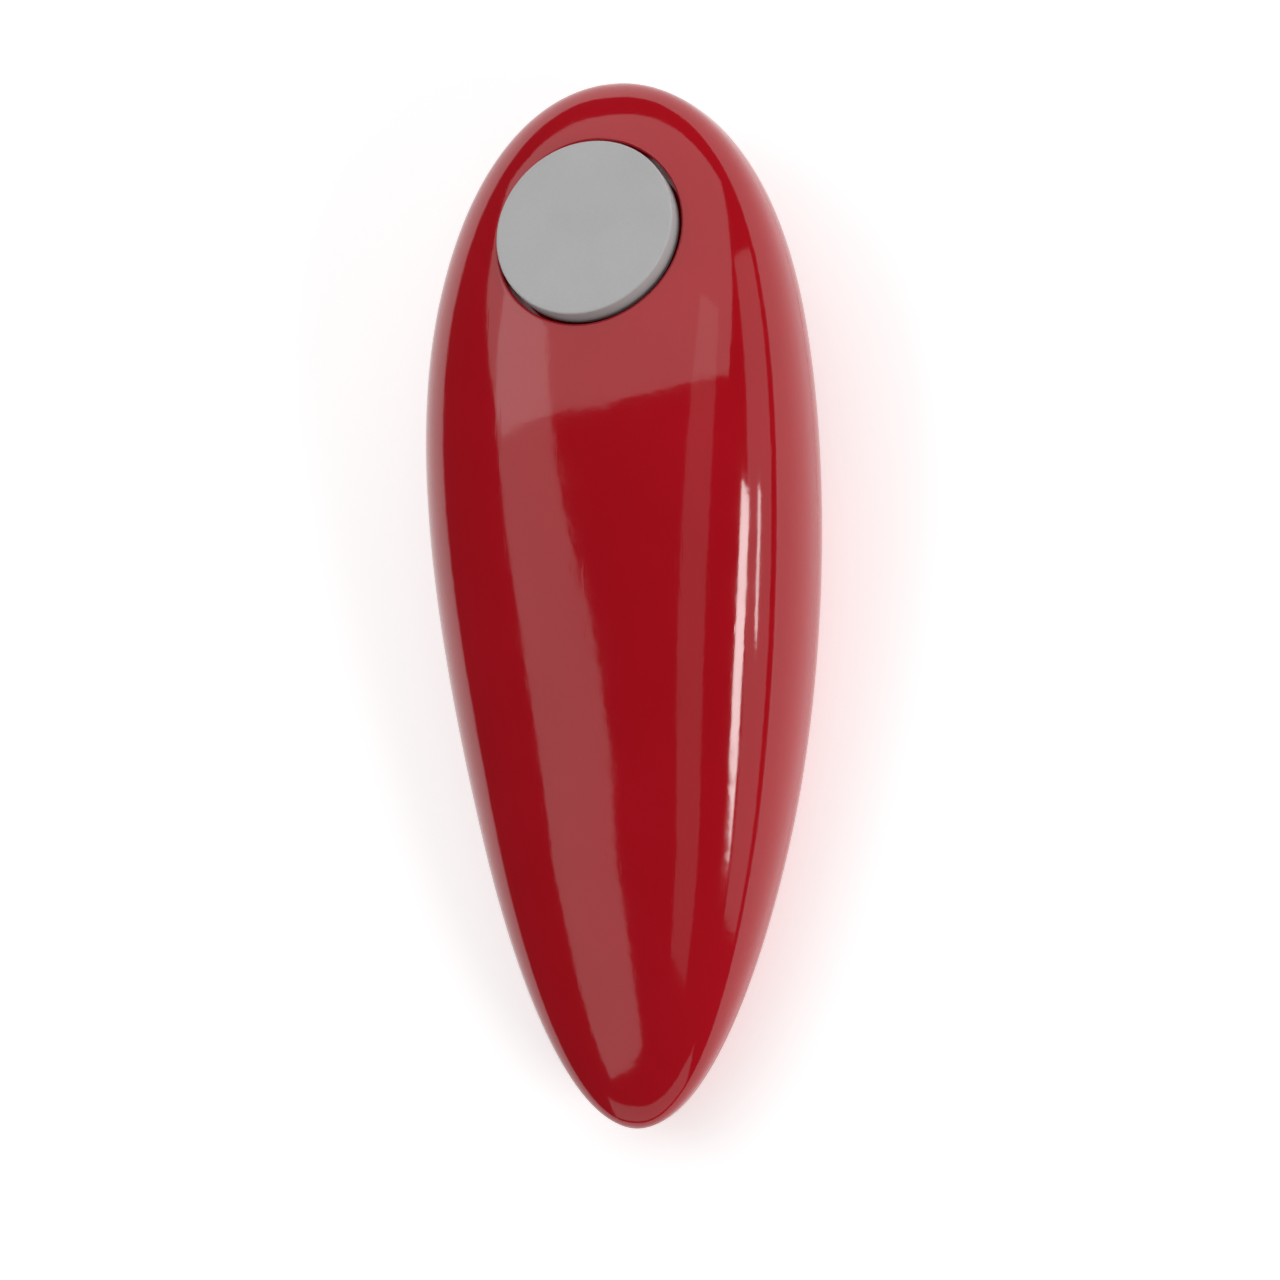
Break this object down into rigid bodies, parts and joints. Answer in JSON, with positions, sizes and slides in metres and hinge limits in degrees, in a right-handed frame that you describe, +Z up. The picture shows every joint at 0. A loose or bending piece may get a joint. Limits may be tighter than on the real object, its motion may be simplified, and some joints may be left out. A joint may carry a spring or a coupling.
{
  "type": "electric can opener",
  "caption": "Teardrop-shaped one-touch electric can opener with a round start button on top and cutting and drive wheels under its wide end.",
  "frame": {"origin": "centre of the bounding box's underside, on the surface the opener rests on", "axes": "+Y towards the wide head end with the start button, +Z up, +X to the right seen from above with the head away"},
  "size_m": [0.0654, 0.1698, 0.0399],
  "materials": {
    "red_shell": "high gloss deep red",
    "grey_button": "satin silver grey, fine grain",
    "plate_steel": "brushed",
    "black_nylon": "moulded, slightly rough",
    "screw_steel": "zinc plated",
    "bush_bronze": "sintered bronze",
    "hardened_steel": "ground",
    "white_nylon": "moulded gear nylon",
    "cutter_gear_nylon": "glass-filled nylon",
    "motor_steel": "nickel plated",
    "motor_cap_plastic": "moulded",
    "armature_iron": "laminated stack with lacquered wire",
    "pinion_brass": "cut brass",
    "contact_metal": "nickel plated",
    "cell_sleeve": "sleeved can",
    "plunger_plastic": "moulded",
    "spring_steel": "bright wire",
    "magnet_nickel": "nickel plated",
    "wire_red": "insulation",
    "wire_yellow": "insulation",
    "wire_black": "insulation"
  },
  "bodies": {
    "housing": {"top_cover": "red_shell", "bottom_housing": "red_shell", "head_plate": "plate_steel", "mid_plate": "black_nylon", "upper_plate": "black_nylon", "battery_tray": "black_nylon", "switch_body": "black_nylon", "case_screws": "screw_steel", "lower_pillars": "screw_steel", "upper_pillars": "screw_steel", "motor_screws": "screw_steel", "drive_bush": "bush_bronze", "motor_can": "motor_steel", "motor_end_cap": "motor_cap_plastic", "motor_terminals": "contact_metal", "switch_terminals": "contact_metal", "positive_tab": "contact_metal", "negative_spring": "contact_metal", "rear_bridge": "contact_metal", "battery_cells": "cell_sleeve", "button_spring": "spring_steel", "magnet_spring": "spring_steel", "wire_positive": "wire_red", "wire_motor": "wire_yellow", "wire_negative": "wire_black"},
    "drive": {"drive_wheel": "hardened_steel", "drive_shaft": "hardened_steel", "output_gear": "white_nylon", "drive_screw": "screw_steel", "clutch_washer": "screw_steel"},
    "clutch": {"clutch_pinion": "white_nylon"},
    "cutter_carrier": {"cutter_gear": "cutter_gear_nylon", "cutter_pin": "hardened_steel", "cutter_clip": "screw_steel"},
    "cutter": {"cutter_wheel": "hardened_steel"},
    "gear_c_body": {"gear_c": "white_nylon", "shaft_c": "hardened_steel"},
    "gear_b_body": {"gear_b": "white_nylon", "shaft_b": "hardened_steel"},
    "gear_a_body": {"gear_a_pinion": "white_nylon", "gear_a_wheel": "white_nylon", "shaft_a": "hardened_steel"},
    "rotor": {"motor_shaft": "hardened_steel", "motor_armature": "armature_iron", "motor_pinion": "pinion_brass"},
    "button": {"start_button": "grey_button"},
    "plunger": {"switch_plunger": "plunger_plastic"},
    "magnet": {"magnet_holder": "black_nylon", "lid_magnet": "magnet_nickel"},
    "battery_door": {"battery_cover": "red_shell"}
  },
  "joints": [
    {"name": "motor_spin", "type": "hinge", "parent": "housing", "child": "rotor", "pos_m": [-0.00001, 0.00812, 0.02], "axis": [0, 0, 1], "continuous": true},
    {"name": "gear_a_spin", "type": "hinge", "parent": "housing", "child": "gear_a_body", "pos_m": [-0.00379, 0.02004, 0.02], "axis": [0, 0, 1], "continuous": true},
    {"name": "gear_b_spin", "type": "hinge", "parent": "housing", "child": "gear_b_body", "pos_m": [-0.00339, 0.03153, 0.02], "axis": [0, 0, 1], "continuous": true},
    {"name": "gear_c_spin", "type": "hinge", "parent": "housing", "child": "gear_c_body", "pos_m": [-0.009, 0.04414, 0.02], "axis": [0, 0, 1], "continuous": true},
    {"name": "drive_spin", "type": "hinge", "parent": "housing", "child": "drive", "pos_m": [0, 0.062, 0.01], "axis": [0, 0, 1], "continuous": true},
    {"name": "cutter_swing", "type": "hinge", "parent": "housing", "child": "cutter_carrier", "pos_m": [0, 0.0412, 0.014], "axis": [0, 0, 1], "range_deg": [0, 165]},
    {"name": "clutch_spin", "type": "hinge", "parent": "housing", "child": "clutch", "pos_m": [0, 0.062, 0.0148], "axis": [0, 0, 1], "range_deg": [-371.25, 0]},
    {"name": "cutter_spin", "type": "hinge", "parent": "cutter_carrier", "child": "cutter", "pos_m": [0, 0.0382, 0.0066], "axis": [0, 0, 1], "continuous": true},
    {"name": "button_press", "type": "slide", "parent": "housing", "child": "button", "axis": [0, -0.3007, -0.9537], "range_m": [0, 0.0018], "stiffness_N_per_m": 600, "springref_m": -0.002, "deforming": ["button_spring"]},
    {"name": "switch_press", "type": "slide", "parent": "housing", "child": "plunger", "axis": [0, -0.3007, -0.9537], "range_m": [0, 0.0018]},
    {"name": "magnet_lift", "type": "slide", "parent": "housing", "child": "magnet", "axis": [0, 0, 1], "range_m": [0, 0.0022], "stiffness_N_per_m": 80, "springref_m": -0.002, "deforming": ["magnet_spring"]},
    {"name": "battery_cover_slide", "type": "slide", "parent": "housing", "child": "battery_door", "axis": [0, -1, 0], "range_m": [0, 0.07]}
  ],
  "couplings": [
    {"joint": "gear_c_spin", "follows": "drive_spin", "ratio": -4},
    {"joint": "gear_b_spin", "follows": "drive_spin", "ratio": 14.4},
    {"joint": "gear_a_spin", "follows": "drive_spin", "ratio": -51.84},
    {"joint": "motor_spin", "follows": "drive_spin", "ratio": 207.36},
    {"joint": "clutch_spin", "follows": "cutter_swing", "ratio": -2.25},
    {"joint": "switch_press", "follows": "button_press", "ratio": 1}
  ]
}
